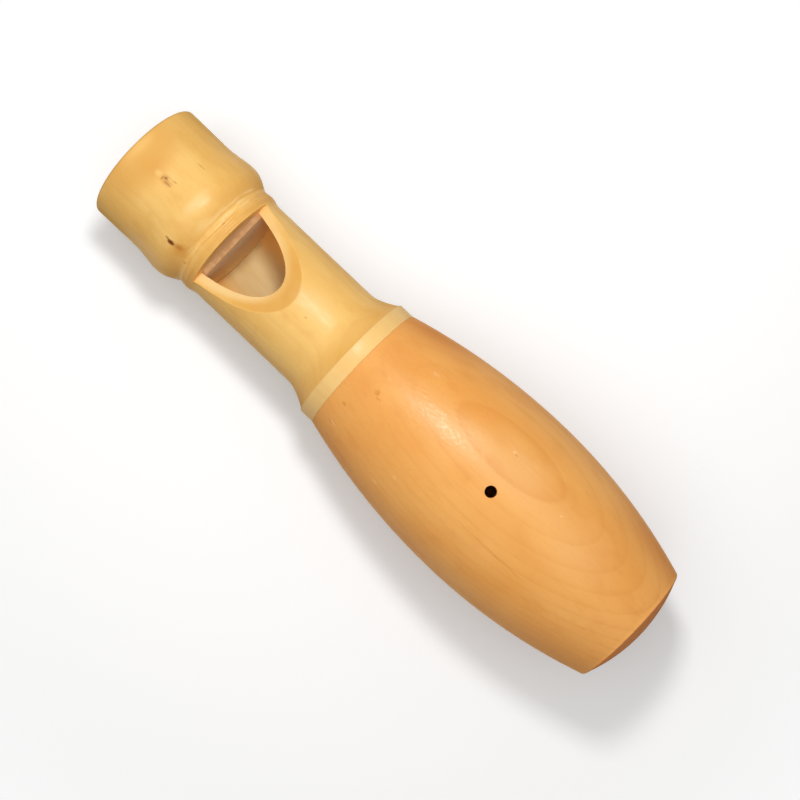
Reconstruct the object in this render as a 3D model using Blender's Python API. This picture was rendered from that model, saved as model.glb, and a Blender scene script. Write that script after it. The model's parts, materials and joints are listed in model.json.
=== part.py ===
"""Owl whistle: a turned wooden whistle in two woods, lying on its side with its window and finger hole up.

Every piece is modelled along +X, from the mouth face at x = 0 to the domed end, with the window on +Z.
One empty then lays the whistle down on the rim of its mouth and on its belly. Units are metres.
"""

import math

import bmesh
import bpy

# Gap between pieces that touch
FIT = 0.0003

# Mouthpiece: places along the axis are measured from the mouth face
MOUTH_RADIUS = 0.01145
MOUTH_EDGE_ROUND = 0.0010
WAIST_RADIUS = 0.01138
WAIST_PLACE = 0.0090
SWELL_RADIUS = 0.01190
SWELL_PLACE = 0.0147
SHOULDER_LENGTH = 0.0039

# Bead below the mouthpiece, and the neck
GROOVE_RADIUS = 0.01030
BEAD_RADIUS = 0.01046
BEAD_RISE = 0.0017
BEAD_FALL = 0.0021
NECK_RADIUS = 0.01002
NECK_LENGTH = 0.0212

# Flare, collar and tenon at the foot of the head
FLARE_LENGTH = 0.0053
COLLAR_RADIUS = 0.01219
COLLAR_LENGTH = 0.0024
SEAM_ROUND = 0.00025
TENON_RADIUS = 0.0100
TENON_LENGTH = 0.0120
TENON_CHAMFER = 0.0006

# Bore of the head, and the window that is cut into it
BORE_RADIUS = 0.0085
WINDOW_PLACE = 0.0214
WINDOW_LENGTH = 0.0153
WINDOW_FOOT_HEIGHT = 0.0050
RAMP_RADIUS = 0.065

# Fipple block: a plug with one flat, which is the floor of the windway
BLOCK_FLAT_HEIGHT = 0.0057
BLOCK_NOSE = 0.0010

# Resonator body: places are measured from its rim, under the collar
RIM_RADIUS = 0.01222
BELLY_RADIUS = 0.01627
BELLY_PLACE = 0.0304
BODY_LENGTH = 0.0609
END_RADIUS = 0.01150
END_EDGE_ROUND = 0.0006
DOME_HEIGHT = 0.0025
SOCKET_BOTTOM_GAP = 0.0005
CHAMBER_RADIUS = 0.0090
CHAMBER_DEPTH = 0.0500
DRILL_POINT_ANGLE = math.radians(118)
FINGER_HOLE_RADIUS = 0.0010
FINGER_HOLE_PLACE = 0.0293

# Facets round the turned pieces and round the finger hole, and where edges stay sharp
FACETS = 64
HOLE_FACETS = 24
SHARP_ANGLE = math.radians(30)
MERGE_DISTANCE = 0.000001

# Finishes: linear colour and roughness
BOXWOOD = ((0.92, 0.58, 0.19), 0.35)
RAW_BOXWOOD = ((0.62, 0.37, 0.17), 0.70)
ORANGE_WOOD = ((0.87, 0.40, 0.11), 0.35)

# Places along the axis that follow from the sizes above
GROOVE_X = SWELL_PLACE + SHOULDER_LENGTH
BEAD_X = GROOVE_X + BEAD_RISE
NECK_X = BEAD_X + BEAD_FALL
FLARE_X = NECK_X + NECK_LENGTH
COLLAR_X = FLARE_X + FLARE_LENGTH
COLLAR_END_X = COLLAR_X + COLLAR_LENGTH
TENON_END_X = COLLAR_END_X + TENON_LENGTH
BODY_X = COLLAR_END_X + FIT
BODY_END_X = BODY_X + BODY_LENGTH


def between(start, end, along, across):
    """The point at one share of the way along the axis and another share of the change in radius."""
    return (start[0] + (end[0] - start[0]) * along, start[1] + (end[1] - start[1]) * across)


def ease(start, end, steps):
    """A run that is level at both ends, like the side of a bead. The start point is left out."""
    shares = [i / steps for i in range(1, steps + 1)]
    return [between(start, end, t, (1 - math.cos(math.pi * t)) / 2) for t in shares]


def sweep(start, end, steps):
    """A run that leaves level and arrives steep, like a cove or a shoulder. The start is left out."""
    shares = [i / steps for i in range(1, steps + 1)]
    return [between(start, end, t, 1 - math.cos(math.pi / 2 * t)) for t in shares]


def arc(centre, radius, start, end, steps):
    """Points on a circle from one angle to another, in radians, both ends included."""
    angles = [start + (end - start) * i / steps for i in range(steps + 1)]
    return [(centre[0] + radius * math.cos(a), centre[1] + radius * math.sin(a)) for a in angles]


def rounded_edge(x, radius, round_radius, turn_from, turn_to, steps):
    """A quarter round whose circle's centre is at x, inset from the piece's radius."""
    return arc((x, radius - round_radius), round_radius, turn_from, turn_to, steps)


def bulge(crown, foot, steps):
    """A circular arc that is level at its crown and runs to its foot, both ends included."""
    reach = foot[0] - crown[0]
    drop = crown[1] - foot[1]
    radius = (reach**2 + drop**2) / (2 * drop)
    swing = math.asin(reach / radius)
    return arc((crown[0], crown[1] - radius), radius, math.pi / 2, math.pi / 2 - swing, steps)


def dome(base_x, foot_radius, height, steps):
    """A shallow round cap, from its middle on the axis out to its foot."""
    radius = (foot_radius**2 + height**2) / (2 * height)
    return arc((base_x + height - radius, 0.0), radius, 0.0, math.asin(foot_radius / radius), steps)


def head_profile():
    """Closed outline of the head: along its outside, round the tenon and back through the bore."""
    mouth = (MOUTH_EDGE_ROUND, MOUTH_RADIUS)
    waist = (WAIST_PLACE, WAIST_RADIUS)
    swell = (SWELL_PLACE, SWELL_RADIUS)
    groove = (GROOVE_X, GROOVE_RADIUS)
    bead = (BEAD_X, BEAD_RADIUS)
    neck = (NECK_X, NECK_RADIUS)
    flare = (FLARE_X, NECK_RADIUS)
    points = rounded_edge(MOUTH_EDGE_ROUND, MOUTH_RADIUS, MOUTH_EDGE_ROUND, math.pi, math.pi / 2, 4)
    points += ease(mouth, waist, 3)
    points += ease(waist, swell, 5)
    points += sweep(swell, groove, 6)
    points += ease(groove, bead, 3)
    points += ease(bead, neck, 4)
    points += [flare]
    points += sweep(flare, (COLLAR_X, COLLAR_RADIUS - SEAM_ROUND), 7)
    points += rounded_edge(COLLAR_X + SEAM_ROUND, COLLAR_RADIUS, SEAM_ROUND, math.pi, math.pi / 2, 2)[1:]
    points += rounded_edge(COLLAR_END_X - SEAM_ROUND, COLLAR_RADIUS, SEAM_ROUND, math.pi / 2, 0.0, 2)
    points += [(COLLAR_END_X, TENON_RADIUS)]
    points += [(TENON_END_X - TENON_CHAMFER, TENON_RADIUS)]
    points += [(TENON_END_X, TENON_RADIUS - TENON_CHAMFER)]
    points += [(TENON_END_X, BORE_RADIUS), (0.0, BORE_RADIUS)]
    return points


def body_profile():
    """Outline of the body, from the middle of its domed end round the outside to its chamber's tip."""
    belly = (BODY_X + BELLY_PLACE, BELLY_RADIUS)
    edge = (BODY_END_X - END_EDGE_ROUND, END_RADIUS)
    rim = (BODY_X + SEAM_ROUND, RIM_RADIUS)
    socket_radius = TENON_RADIUS + FIT
    socket_end = TENON_END_X + SOCKET_BOTTOM_GAP
    chamber_end = BODY_X + CHAMBER_DEPTH
    drill_tip = chamber_end + CHAMBER_RADIUS / math.tan(DRILL_POINT_ANGLE / 2)
    points = dome(BODY_END_X, END_RADIUS - END_EDGE_ROUND, DOME_HEIGHT, 5)
    points += rounded_edge(edge[0], END_RADIUS, END_EDGE_ROUND, 0.0, math.pi / 2, 3)[1:]
    points += bulge(belly, edge, 13)[-2::-1]
    points += bulge(belly, rim, 13)[1:]
    points += rounded_edge(rim[0], RIM_RADIUS, SEAM_ROUND, math.pi / 2, math.pi, 2)[1:]
    points += [(BODY_X, socket_radius), (socket_end, socket_radius)]
    points += [(socket_end, CHAMBER_RADIUS), (chamber_end, CHAMBER_RADIUS)]
    points += [(drill_tip, 0.0)]
    return points


def finish(name, colour, roughness):
    """A satin or raw wood finish."""
    material = bpy.data.materials.new(name)
    material.use_nodes = True
    shader = material.node_tree.nodes["Principled BSDF"]
    shader.inputs["Base Color"].default_value = (*colour, 1.0)
    shader.inputs["Roughness"].default_value = roughness
    shader.inputs["Metallic"].default_value = 0.0
    return material


def add_object(name, shape, parent):
    """Turn a bmesh into a closed, smooth shaded object on the whistle's axis."""
    bmesh.ops.remove_doubles(shape, verts=shape.verts, dist=MERGE_DISTANCE)
    bmesh.ops.recalc_face_normals(shape, faces=shape.faces)
    mesh = bpy.data.meshes.new(name)
    shape.to_mesh(mesh)
    shape.free()
    mesh.shade_smooth()
    mesh.set_sharp_from_angle(angle=SHARP_ANGLE)
    piece = bpy.data.objects.new(name, mesh)
    bpy.context.scene.collection.objects.link(piece)
    piece.parent = parent
    return piece


def turned(name, profile, closed, parent):
    """Spin an outline round the X axis, with a facet, not an edge, lowest."""
    half_facet = math.pi / FACETS
    shape = bmesh.new()
    verts = [shape.verts.new((x, r * math.sin(half_facet), r * math.cos(half_facet))) for x, r in profile]
    ends = verts[1:] + verts[:1] if closed else verts[1:]
    edges = [shape.edges.new(pair) for pair in zip(verts, ends)]
    bmesh.ops.spin(
        shape, geom=verts + edges, cent=(0, 0, 0), axis=(1, 0, 0), angle=math.tau, steps=FACETS
    )
    return add_object(name, shape, parent)


def extruded(name, outline, start, run, parent):
    """Run a flat outline of points along a straight line, from a start to a start plus the run."""
    shape = bmesh.new()
    face = shape.faces.new([shape.verts.new([p + s for p, s in zip(point, start)]) for point in outline])
    moved = bmesh.ops.extrude_face_region(shape, geom=[face], use_keep_orig=True)["geom"]
    bmesh.ops.translate(shape, verts=[v for v in moved if isinstance(v, bmesh.types.BMVert)], vec=run)
    return add_object(name, shape, parent)


def cut(piece, cutter):
    """Take a cutter's shape out of a piece, and keep the cutter as a wire guide."""
    cutter.hide_render = True
    cutter.display_type = "WIRE"
    boolean = piece.modifiers.new(cutter.name, "BOOLEAN")
    boolean.operation = "DIFFERENCE"
    boolean.solver = "EXACT"
    boolean.object = cutter


def make_head(axis):
    """The mouthpiece, neck, collar and tenon, with the window cut across its upper side."""
    head = turned("mouthpiece_head", head_profile(), True, axis)
    head.data.materials.append(finish("boxwood", *BOXWOOD))
    cut(head, make_window_cutter(axis))
    return head


def make_window_cutter(axis):
    """A square end at the windway and a hollow ramp that rises from it to the neck's surface."""
    foot = (WINDOW_PLACE, WINDOW_FOOT_HEIGHT)
    tip = (WINDOW_PLACE + WINDOW_LENGTH, NECK_RADIUS)
    chord = math.dist(foot, tip)
    slope = math.atan2(tip[1] - foot[1], tip[0] - foot[0])
    half_swing = math.asin(chord / 2 / RAMP_RADIUS)
    start = slope - half_swing - math.pi / 2
    centre = (foot[0] - RAMP_RADIUS * math.cos(start), foot[1] - RAMP_RADIUS * math.sin(start))
    ramp = arc(centre, RAMP_RADIUS, start, start + 2 * half_swing, 8)
    clear = 2 * BEAD_RADIUS
    outline = [(x, 0.0, z) for x, z in ramp + [(tip[0], clear), (foot[0], clear)]]
    return extruded("window_cutter", outline, (0, -clear, 0), (0, 2 * clear, 0), axis)


def make_block(axis):
    """The plug in the mouthpiece's bore. Its flat leaves the windway open under the bore's roof."""
    radius = BORE_RADIUS - FIT
    shoulder = math.asin(BLOCK_FLAT_HEIGHT / radius)
    outline = arc((0, 0), radius, shoulder, -math.pi - shoulder, FACETS)
    length = WINDOW_PLACE + BLOCK_NOSE - FIT
    block = extruded("fipple_block", [(0.0, y, z) for y, z in outline], (FIT, 0, 0), (length, 0, 0), axis)
    block.data.materials.append(finish("raw_boxwood", *RAW_BOXWOOD))
    return block


def make_body(axis):
    """The resonator: a barrel with a socket and a blind chamber, and a finger hole through its wall."""
    body = turned("resonator_body", body_profile(), False, axis)
    body.data.materials.append(finish("orange_wood", *ORANGE_WOOD))
    circle = arc((0, 0), FINGER_HOLE_RADIUS, 0.0, math.tau, HOLE_FACETS)[:-1]
    outline = [(x, y, 0.0) for x, y in circle]
    place = (BODY_X + FINGER_HOLE_PLACE, 0.0, 0.0)
    cut(body, extruded("finger_hole_cutter", outline, place, (0, 0, 2 * BELLY_RADIUS), axis))
    return body


def slope_between(low, high):
    """How steeply the outline climbs from one point to another."""
    return (high[1] - low[1]) / (high[0] - low[0])


def lay_down(axis):
    """Tilt the axis until mouth rim and belly touch the table, over the middle of the whistle's length."""
    flat = math.cos(math.pi / FACETS)
    head = [(x, r * flat) for x, r in head_profile()]
    barrel = [(x, r * flat) for x, r in body_profile() if x > TENON_END_X]
    tilt = math.atan(min(max(slope_between(low, high) for high in barrel) for low in head))
    outline = head + barrel
    lowest = min(x * math.sin(tilt) - r * math.cos(tilt) for x, r in outline)
    first = min(x * math.cos(tilt) - r * math.sin(tilt) for x, r in outline)
    last = max(x * math.cos(tilt) + r * math.sin(tilt) for x, r in outline)
    axis.rotation_euler = (0.0, -tilt, 0.0)
    axis.location = (-(first + last) / 2, 0.0, -lowest)


def main():
    for old in list(bpy.data.objects):
        bpy.data.objects.remove(old)
    axis = bpy.data.objects.new("whistle_axis", None)
    bpy.context.scene.collection.objects.link(axis)
    make_head(axis)
    make_block(axis)
    make_body(axis)
    lay_down(axis)
    bpy.context.view_layer.update()


main()
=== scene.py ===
"""Owl whistle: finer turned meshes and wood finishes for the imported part, lying on a white table.

Shapes are worked out along the whistle's own axis, from the mouth face at x = 0 to the domed end, with the
window on +Z, and are then laid down as the frame lies. Lengths are metres, and shader lengths millimetres.
"""

import json
import math

import bmesh
import bpy
from mathutils import Matrix, Vector


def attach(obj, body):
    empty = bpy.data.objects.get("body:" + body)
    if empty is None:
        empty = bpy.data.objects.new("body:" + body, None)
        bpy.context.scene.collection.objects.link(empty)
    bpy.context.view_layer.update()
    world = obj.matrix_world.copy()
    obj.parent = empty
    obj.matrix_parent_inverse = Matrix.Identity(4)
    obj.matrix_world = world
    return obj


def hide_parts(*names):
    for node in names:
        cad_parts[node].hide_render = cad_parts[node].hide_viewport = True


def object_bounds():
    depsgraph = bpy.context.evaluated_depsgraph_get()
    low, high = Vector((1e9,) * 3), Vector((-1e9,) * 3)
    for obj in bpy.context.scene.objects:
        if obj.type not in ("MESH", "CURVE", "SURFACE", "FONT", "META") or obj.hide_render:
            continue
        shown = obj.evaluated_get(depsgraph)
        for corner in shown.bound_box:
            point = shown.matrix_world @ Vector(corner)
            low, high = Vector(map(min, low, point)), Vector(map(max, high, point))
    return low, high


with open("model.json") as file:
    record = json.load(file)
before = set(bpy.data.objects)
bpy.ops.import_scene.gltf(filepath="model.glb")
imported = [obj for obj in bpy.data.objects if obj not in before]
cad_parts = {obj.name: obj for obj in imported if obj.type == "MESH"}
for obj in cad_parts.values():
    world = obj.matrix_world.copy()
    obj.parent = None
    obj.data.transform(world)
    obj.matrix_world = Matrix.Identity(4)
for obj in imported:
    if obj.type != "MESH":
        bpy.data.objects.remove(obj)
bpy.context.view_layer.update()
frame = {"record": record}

# Head: the sizes of the frame's solid, with finer edges and a collar that closes the seam below it
MOUTH_RADIUS = 0.01145
MOUTH_EDGE_ROUND = 0.0006
WAIST_RADIUS = 0.01138
WAIST_X = 0.0090
SWELL_RADIUS = 0.01190
SWELL_X = 0.0147
GROOVE_RADIUS = 0.01030
GROOVE_X = 0.0186
BEAD_RADIUS = 0.01046
BEAD_X = 0.0203
NECK_RADIUS = 0.01002
NECK_X = 0.0224
FLARE_X = 0.0436
COLLAR_RADIUS = 0.01219
COLLAR_X = 0.04875
COLLAR_END_X = 0.05159
COLLAR_ROUND = 0.00025
LIP_ROUND = 0.00004
TENON_RADIUS = 0.0100
TENON_END_X = 0.0633
TENON_CHAMFER = 0.0006
BORE_RADIUS = 0.0085
BORE_EDGE_ROUND = 0.00035

# Fine lines that the turning tool left in the bead: each one's place along the axis and its depth
TOOL_LINES = ((0.01938, 0.00005), (0.02000, 0.00003), (0.02058, 0.00006))
TOOL_LINE_WIDTH = 0.00013

# Window and fipple block
WINDOW_X = 0.0214
WINDOW_TIP_X = 0.0367
WINDOW_FOOT_HEIGHT = 0.0050
RAMP_RADIUS = 0.065
BLOCK_FLAT_HEIGHT = 0.0057
BLOCK_END_X = 0.0224
BLOCK_GAP = 0.00003
BLOCK_RECESS = 0.00012
BLOCK_EDGE = 0.00014

# Resonator body, whose rim closes up to the collar, as in a joint that is pressed home
SEAM_GAP = 0.00001
RIM_RADIUS = 0.01222
BELLY_RADIUS = 0.01627
BELLY_X = 0.0820
END_RADIUS = 0.01150
END_X = 0.11275
END_EDGE_ROUND = 0.0004
DOME_HEIGHT = 0.00225
SOCKET_RADIUS = 0.0103
SOCKET_END_X = 0.0638
SOCKET_CHAMFER = 0.0004
CHAMBER_RADIUS = 0.0090
CHAMBER_END_X = 0.1016
CHAMBER_TIP_X = 0.1070
FINGER_HOLE_X = 0.0809
FINGER_HOLE_RADIUS = 0.0010
FINGER_HOLE_ROUND = 0.00010

# Fineness of the meshes: faces round a piece, rows along it, steps round an edge, and halvings in a search
WINDOW_COLUMNS = 36
WALL_COLUMNS = 60
BODY_COLUMNS = 224
HOLE_COLUMNS = 64
MOUTH_ROWS = 64
BEAD_ROWS = 40
BORE_ROWS = 8
FLARE_ROWS = 16
CHAMBER_ROWS = 6
BARREL_ROWS = 72
DOME_ROWS = 24
MOUTH_EDGE_STEPS = 8
END_EDGE_STEPS = 6
ROUND_STEPS = 5
LIP_STEPS = 4
BEVEL_STEPS = 3
HALVINGS = 40

# Angle from which an edge is shaded as a sharp one
SHARP_ANGLE = math.radians(38)

# Rows near the window: distances from its edge, shares of the way on, and shares through its wall
EDGE_DISTANCES = (0.00005, 0.00012, 0.00022, 0.00040)
AWAY_SHARES = (0.02, 0.05, 0.10, 0.17, 0.26, 0.36, 0.48, 0.60, 0.74, 0.87, 1.0)
WALL_SHARES = (0.012, 0.035, 0.07, 0.14, 0.30, 0.50, 0.70, 0.86, 0.93, 0.965, 0.988)
BORE_END_ROW = 0.0005

# Easing of the window's edges: how many rows on each side move, how often, and how far each time
EASED_ROWS = 4
EASING_ROUNDS = 4
EASING_SHARE = 0.5

# Material places on a piece with a finished outside and a raw inside
FINISHED = 0
RAW = 1

# Where the whistle lies: the frame's mouth face gives the axis, and a point this far below it
MOUTH_POINT_DROP = 0.0095
mouth_face = next(m for m in frame["record"]["mounts"] if m["name"] == "mouth_face")
along = -Vector(mouth_face["axis"]).normalized()
TILT = math.atan2(along.z, along.x)
above = Vector((-along.z, 0.0, along.x))
MOUTH = Vector(mouth_face["pos_m"]) + above * MOUTH_POINT_DROP
LAID = Matrix.Translation(MOUTH) @ Matrix.Rotation(-TILT, 4, "Y")

# Camera: straight above the table, with the whistle's mouth towards the upper left of the picture
CAMERA_PLACE = (0.0024, 0.0006, 0.2865)
CAMERA_ROLL = math.radians(43.64)
CAMERA_LENS = 72.9
CAMERA_SENSOR = 36.0

# Millimetres to the metre
MILLIMETRES = 1000.0


def blend(start, end, share):
    """A value part of the way from start to end."""
    return start + (end - start) * share


def level(start, end, share):
    """A share of the way between two radii on a run that is level at both ends."""
    return blend(start, end, (1 - math.cos(math.pi * share)) / 2)


def steep(start, end, share):
    """A share of the way between two radii on a run that leaves level and arrives steep."""
    return blend(start, end, 1 - math.cos(math.pi / 2 * share))


# Runs of the head's outside: where each starts and ends, its radii and its curve
HEAD_RUNS = (
    (MOUTH_EDGE_ROUND, WAIST_X, MOUTH_RADIUS, WAIST_RADIUS, level),
    (WAIST_X, SWELL_X, WAIST_RADIUS, SWELL_RADIUS, level),
    (SWELL_X, GROOVE_X, SWELL_RADIUS, GROOVE_RADIUS, steep),
    (GROOVE_X, BEAD_X, GROOVE_RADIUS, BEAD_RADIUS, level),
    (BEAD_X, NECK_X, BEAD_RADIUS, NECK_RADIUS, level),
    (NECK_X, FLARE_X, NECK_RADIUS, NECK_RADIUS, level),
    (FLARE_X, COLLAR_X, NECK_RADIUS, COLLAR_RADIUS - COLLAR_ROUND, steep),
)


def tool_lines(x):
    """Depth of the fine lines that the turning tool left in the bead."""
    return sum(depth * math.exp(-(((x - place) / TOOL_LINE_WIDTH) ** 2)) for place, depth in TOOL_LINES)


def head_radius(x):
    """Outer radius of the head, from the mouth rim to the collar."""
    for start, end, low, high, curve in HEAD_RUNS:
        if x <= end:
            return curve(low, high, (x - start) / (end - start)) - tool_lines(x)
    return COLLAR_RADIUS


def bore_radius(x):
    """Radius of the head's bore, which is straight."""
    return BORE_RADIUS


def arc(centre, radius, start, end, steps):
    """Points on a circle from one angle to another, both ends included."""
    angles = [blend(start, end, i / steps) for i in range(steps + 1)]
    return [(centre[0] + radius * math.cos(a), centre[1] + radius * math.sin(a)) for a in angles]


def bulge(crown, foot, steps):
    """A circular arc that is level at its crown and runs to its foot, both ends included."""
    reach = foot[0] - crown[0]
    drop = crown[1] - foot[1]
    radius = (reach**2 + drop**2) / (2 * drop)
    swing = math.asin(reach / radius)
    return arc((crown[0], crown[1] - radius), radius, math.pi / 2, math.pi / 2 - swing, steps)


def ramp_centre():
    """Centre of the round cut that forms the window's ramp, in the plane through the axis."""
    foot = Vector((WINDOW_X, WINDOW_FOOT_HEIGHT))
    tip = Vector((WINDOW_TIP_X, NECK_RADIUS))
    chord = tip - foot
    rise = math.sqrt(RAMP_RADIUS**2 - chord.length_squared / 4)
    return (foot + tip) / 2 + Vector((-chord.y, chord.x)).normalized() * rise


RAMP_CENTRE = ramp_centre()


def ramp_height(x):
    """Height of the ramp over the axis."""
    return RAMP_CENTRE.y - math.sqrt(RAMP_RADIUS**2 - (x - RAMP_CENTRE.x) ** 2)


def ramp_meets(radius_at, angle):
    """Place along the axis where the ramp cuts a turned surface, at an angle from the top."""
    low, high = WINDOW_X, WINDOW_TIP_X
    for _ in range(HALVINGS):
        middle = (low + high) / 2
        if ramp_height(middle) < radius_at(middle) * math.cos(angle):
            low = middle
        else:
            high = middle
    return (low + high) / 2


def on_wall(x, radius, angle):
    """Point of a turned surface, with the angle counted from the top towards +Y."""
    return Vector((x, radius * math.sin(angle), radius * math.cos(angle)))


def laid_mesh(name, shape, materials):
    """Lay a shape down as the frame lies and make a smooth shaded object of it."""
    bmesh.ops.recalc_face_normals(shape, faces=shape.faces)
    shape.transform(LAID)
    mesh = bpy.data.meshes.new(name)
    shape.to_mesh(mesh)
    shape.free()
    mesh.shade_smooth()
    mesh.set_sharp_from_angle(angle=SHARP_ANGLE)
    for material in materials:
        mesh.materials.append(material)
    piece = bpy.data.objects.new(name, mesh)
    bpy.context.scene.collection.objects.link(piece)
    return piece


def skin(shape, rings, material_index):
    """Join rings of vertices, in order, with quads all round."""
    for ring, following in zip(rings, rings[1:]):
        for i in range(len(ring)):
            k = (i + 1) % len(ring)
            add_quad(shape, (ring[i], ring[k], following[k], following[i]), material_index)


def add_quad(shape, corners, material_index):
    """A face on the corners that differ, or nothing where fewer than three do."""
    kept = list(dict.fromkeys(corners))
    if len(kept) > 2:
        face = shape.faces.new(kept)
        face.material_index = material_index


def even(start, end, steps):
    """Evenly spaced values after start, up to and including end."""
    return [blend(start, end, i / steps) for i in range(1, steps + 1)]


def head_columns():
    """Angles round the head, in pairs outside and in the bore, from the top all the way round.

    The window's corners fall on columns, so that its edges are edges of the mesh.
    """
    corner = math.acos(WINDOW_FOOT_HEIGHT / head_radius(WINDOW_X))
    bore_corner = math.acos(WINDOW_FOOT_HEIGHT / BORE_RADIUS)
    outer = [0.0] + even(0.0, corner, WINDOW_COLUMNS) + even(corner, math.pi, WALL_COLUMNS)
    inner = [0.0] + even(0.0, bore_corner, WINDOW_COLUMNS) + even(bore_corner, math.pi, WALL_COLUMNS)
    half = list(zip(outer, inner))
    return half + [(-a, -b) for a, b in reversed(half[1:-1])]


def head_ring(shape, columns, x, radius):
    """A ring square to the axis, whose columns pass from the bore's angles to the outside's."""
    share = min(max((radius - BORE_RADIUS) / (TENON_RADIUS - BORE_RADIUS), 0.0), 1.0)
    return [shape.verts.new(on_wall(x, radius, blend(inner, outer, share))) for outer, inner in columns]


def front_profile():
    """From the window along the bore to the mouth, round its rim and back along the outside."""
    clear = WINDOW_X - EDGE_DISTANCES[-1]
    bore_edge = (BORE_EDGE_ROUND, BORE_RADIUS + BORE_EDGE_ROUND)
    rim = (MOUTH_EDGE_ROUND, MOUTH_RADIUS - MOUTH_EDGE_ROUND)
    points = [(WINDOW_X - distance, BORE_RADIUS) for distance in (0.0, *EDGE_DISTANCES)]
    points += [(x, BORE_RADIUS) for x in even(clear, BORE_EDGE_ROUND, BORE_ROWS)]
    points += arc(bore_edge, BORE_EDGE_ROUND, -math.pi / 2, -math.pi, ROUND_STEPS)[1:]
    points += arc(rim, MOUTH_EDGE_ROUND, math.pi, math.pi / 2, MOUTH_EDGE_STEPS)
    outside = even(MOUTH_EDGE_ROUND, GROOVE_X, MOUTH_ROWS) + even(GROOVE_X, clear, BEAD_ROWS)
    outside += [WINDOW_X - distance for distance in EDGE_DISTANCES[-2::-1]] + [WINDOW_X]
    return points + [(x, head_radius(x)) for x in outside]


def collar_profile():
    """From the neck's end over the flare and round the collar."""
    shoulder = (COLLAR_X + COLLAR_ROUND, COLLAR_RADIUS - COLLAR_ROUND)
    lip = (COLLAR_END_X - LIP_ROUND, COLLAR_RADIUS - LIP_ROUND)
    points = [(x, head_radius(x)) for x in even(FLARE_X, COLLAR_X, FLARE_ROWS)]
    points += arc(shoulder, COLLAR_ROUND, math.pi, math.pi / 2, ROUND_STEPS)[1:]
    return points + arc(lip, LIP_ROUND, math.pi / 2, 0.0, LIP_STEPS)


def tenon_profile():
    """From the collar's lower side along the tenon and round its end to the bore."""
    return [
        (COLLAR_END_X, TENON_RADIUS),
        (TENON_END_X - TENON_CHAMFER, TENON_RADIUS),
        (TENON_END_X, TENON_RADIUS - TENON_CHAMFER),
        (TENON_END_X, BORE_RADIUS),
    ]


def rows_behind(start, end):
    """Places along the axis behind the window's edge, close together near it."""
    clear = start + EDGE_DISTANCES[-1]
    near = [start + distance for distance in EDGE_DISTANCES]
    return [start, *near, *(blend(clear, end, share) for share in AWAY_SHARES)]


def rings_behind(shape, columns, starts, end, radius_at, first):
    """Rings from the window's edge to a level end. Columns beside the window start on an older ring."""
    rows = [rows_behind(start, end) for start in starts]
    rings = []
    for number in range(len(rows[0])):
        ring = []
        for column, angle in enumerate(columns):
            x = rows[column][number]
            shared = number == 0 and starts[column] == WINDOW_X
            ring.append(first[column] if shared else shape.verts.new(on_wall(x, radius_at(x), angle)))
        rings.append(ring)
    return rings


def strip(shape, upper, lower, place, sides):
    """Rows of vertices from one edge of the window to another, with the two side columns given or new."""
    rows = [upper]
    for number, share in enumerate(WALL_SHARES):
        between = [a.co.lerp(b.co, share) for a, b in zip(upper, lower)]
        row = [shape.verts.new(place(point)) for point in between[1:-1]]
        left, right = sides[number] if sides else [shape.verts.new(between[k]) for k in (0, -1)]
        rows.append([left, *row, right])
    return rows + [lower]


def panel(shape, rows, material_index):
    """Join rows of vertices, in order, with quads."""
    for row, following in zip(rows, rows[1:]):
        for i in range(len(row) - 1):
            add_quad(shape, (row[i], row[i + 1], following[i + 1], following[i]), material_index)


def on_ramp(point):
    """A point of the window moved up or down on to its ramp."""
    return Vector((point.x, point.y, ramp_height(point.x)))


def ease(shape, rows):
    """Soften the vertices of some rows, as fine paper does to a cut edge."""
    soft = list(dict.fromkeys(vertex for row in rows for vertex in row))
    for _ in range(EASING_ROUNDS):
        bmesh.ops.smooth_vert(
            shape, verts=soft, factor=EASING_SHARE, use_axis_x=True, use_axis_y=True, use_axis_z=True
        )


def make_head(materials):
    """Mouthpiece, neck, collar and tenon in one skin, with the window cut in the neck."""
    shape = bmesh.new()
    columns = head_columns()
    outer = [a for a, b in columns]
    inner = [b for a, b in columns]
    count = len(columns)
    opening = [k % count for k in range(-WINDOW_COLUMNS, WINDOW_COLUMNS + 1)]
    within = set(opening[1:-1])
    front = [head_ring(shape, columns, x, radius) for x, radius in front_profile()]
    outer_starts = [ramp_meets(head_radius, a) if k in within else WINDOW_X for k, a in enumerate(outer)]
    inner_starts = [ramp_meets(bore_radius, a) if k in within else WINDOW_X for k, a in enumerate(inner)]
    neck = rings_behind(shape, outer, outer_starts, FLARE_X, head_radius, front[-1])
    bore = rings_behind(shape, inner, inner_starts, TENON_END_X - BORE_END_ROW, bore_radius, front[0])
    collar = [head_ring(shape, columns, x, radius) for x, radius in collar_profile()]
    tenon = [head_ring(shape, columns, x, radius) for x, radius in tenon_profile()]
    bore_rows = next(k for k, ring in enumerate(front) if ring[0].co.x < BORE_EDGE_ROUND / 2)
    skin(shape, front[: bore_rows + 1], RAW)
    skin(shape, front[bore_rows:], FINISHED)
    skin(shape, neck + collar, FINISHED)
    skin(shape, [collar[-1], *tenon, *reversed(bore)], RAW)

    def edge(ring):
        return [ring[k] for k in opening]

    wall = strip(shape, edge(front[-1]), edge(front[0]), Vector, None)
    sides = [(row[0], row[-1]) for row in wall[1:-1]]
    ramp = strip(shape, edge(neck[0]), edge(bore[0]), on_ramp, sides)
    panel(shape, wall, RAW)
    panel(shape, ramp, FINISHED)
    near = [row for rows in (wall, ramp) for row in rows[:EASED_ROWS] + rows[-EASED_ROWS:]]
    rings = front[:EASED_ROWS] + front[-EASED_ROWS:] + neck[:EASED_ROWS] + bore[:EASED_ROWS]
    ease(shape, near + [edge(ring) for ring in rings])
    return laid_mesh("head_wood", shape, materials)


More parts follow.
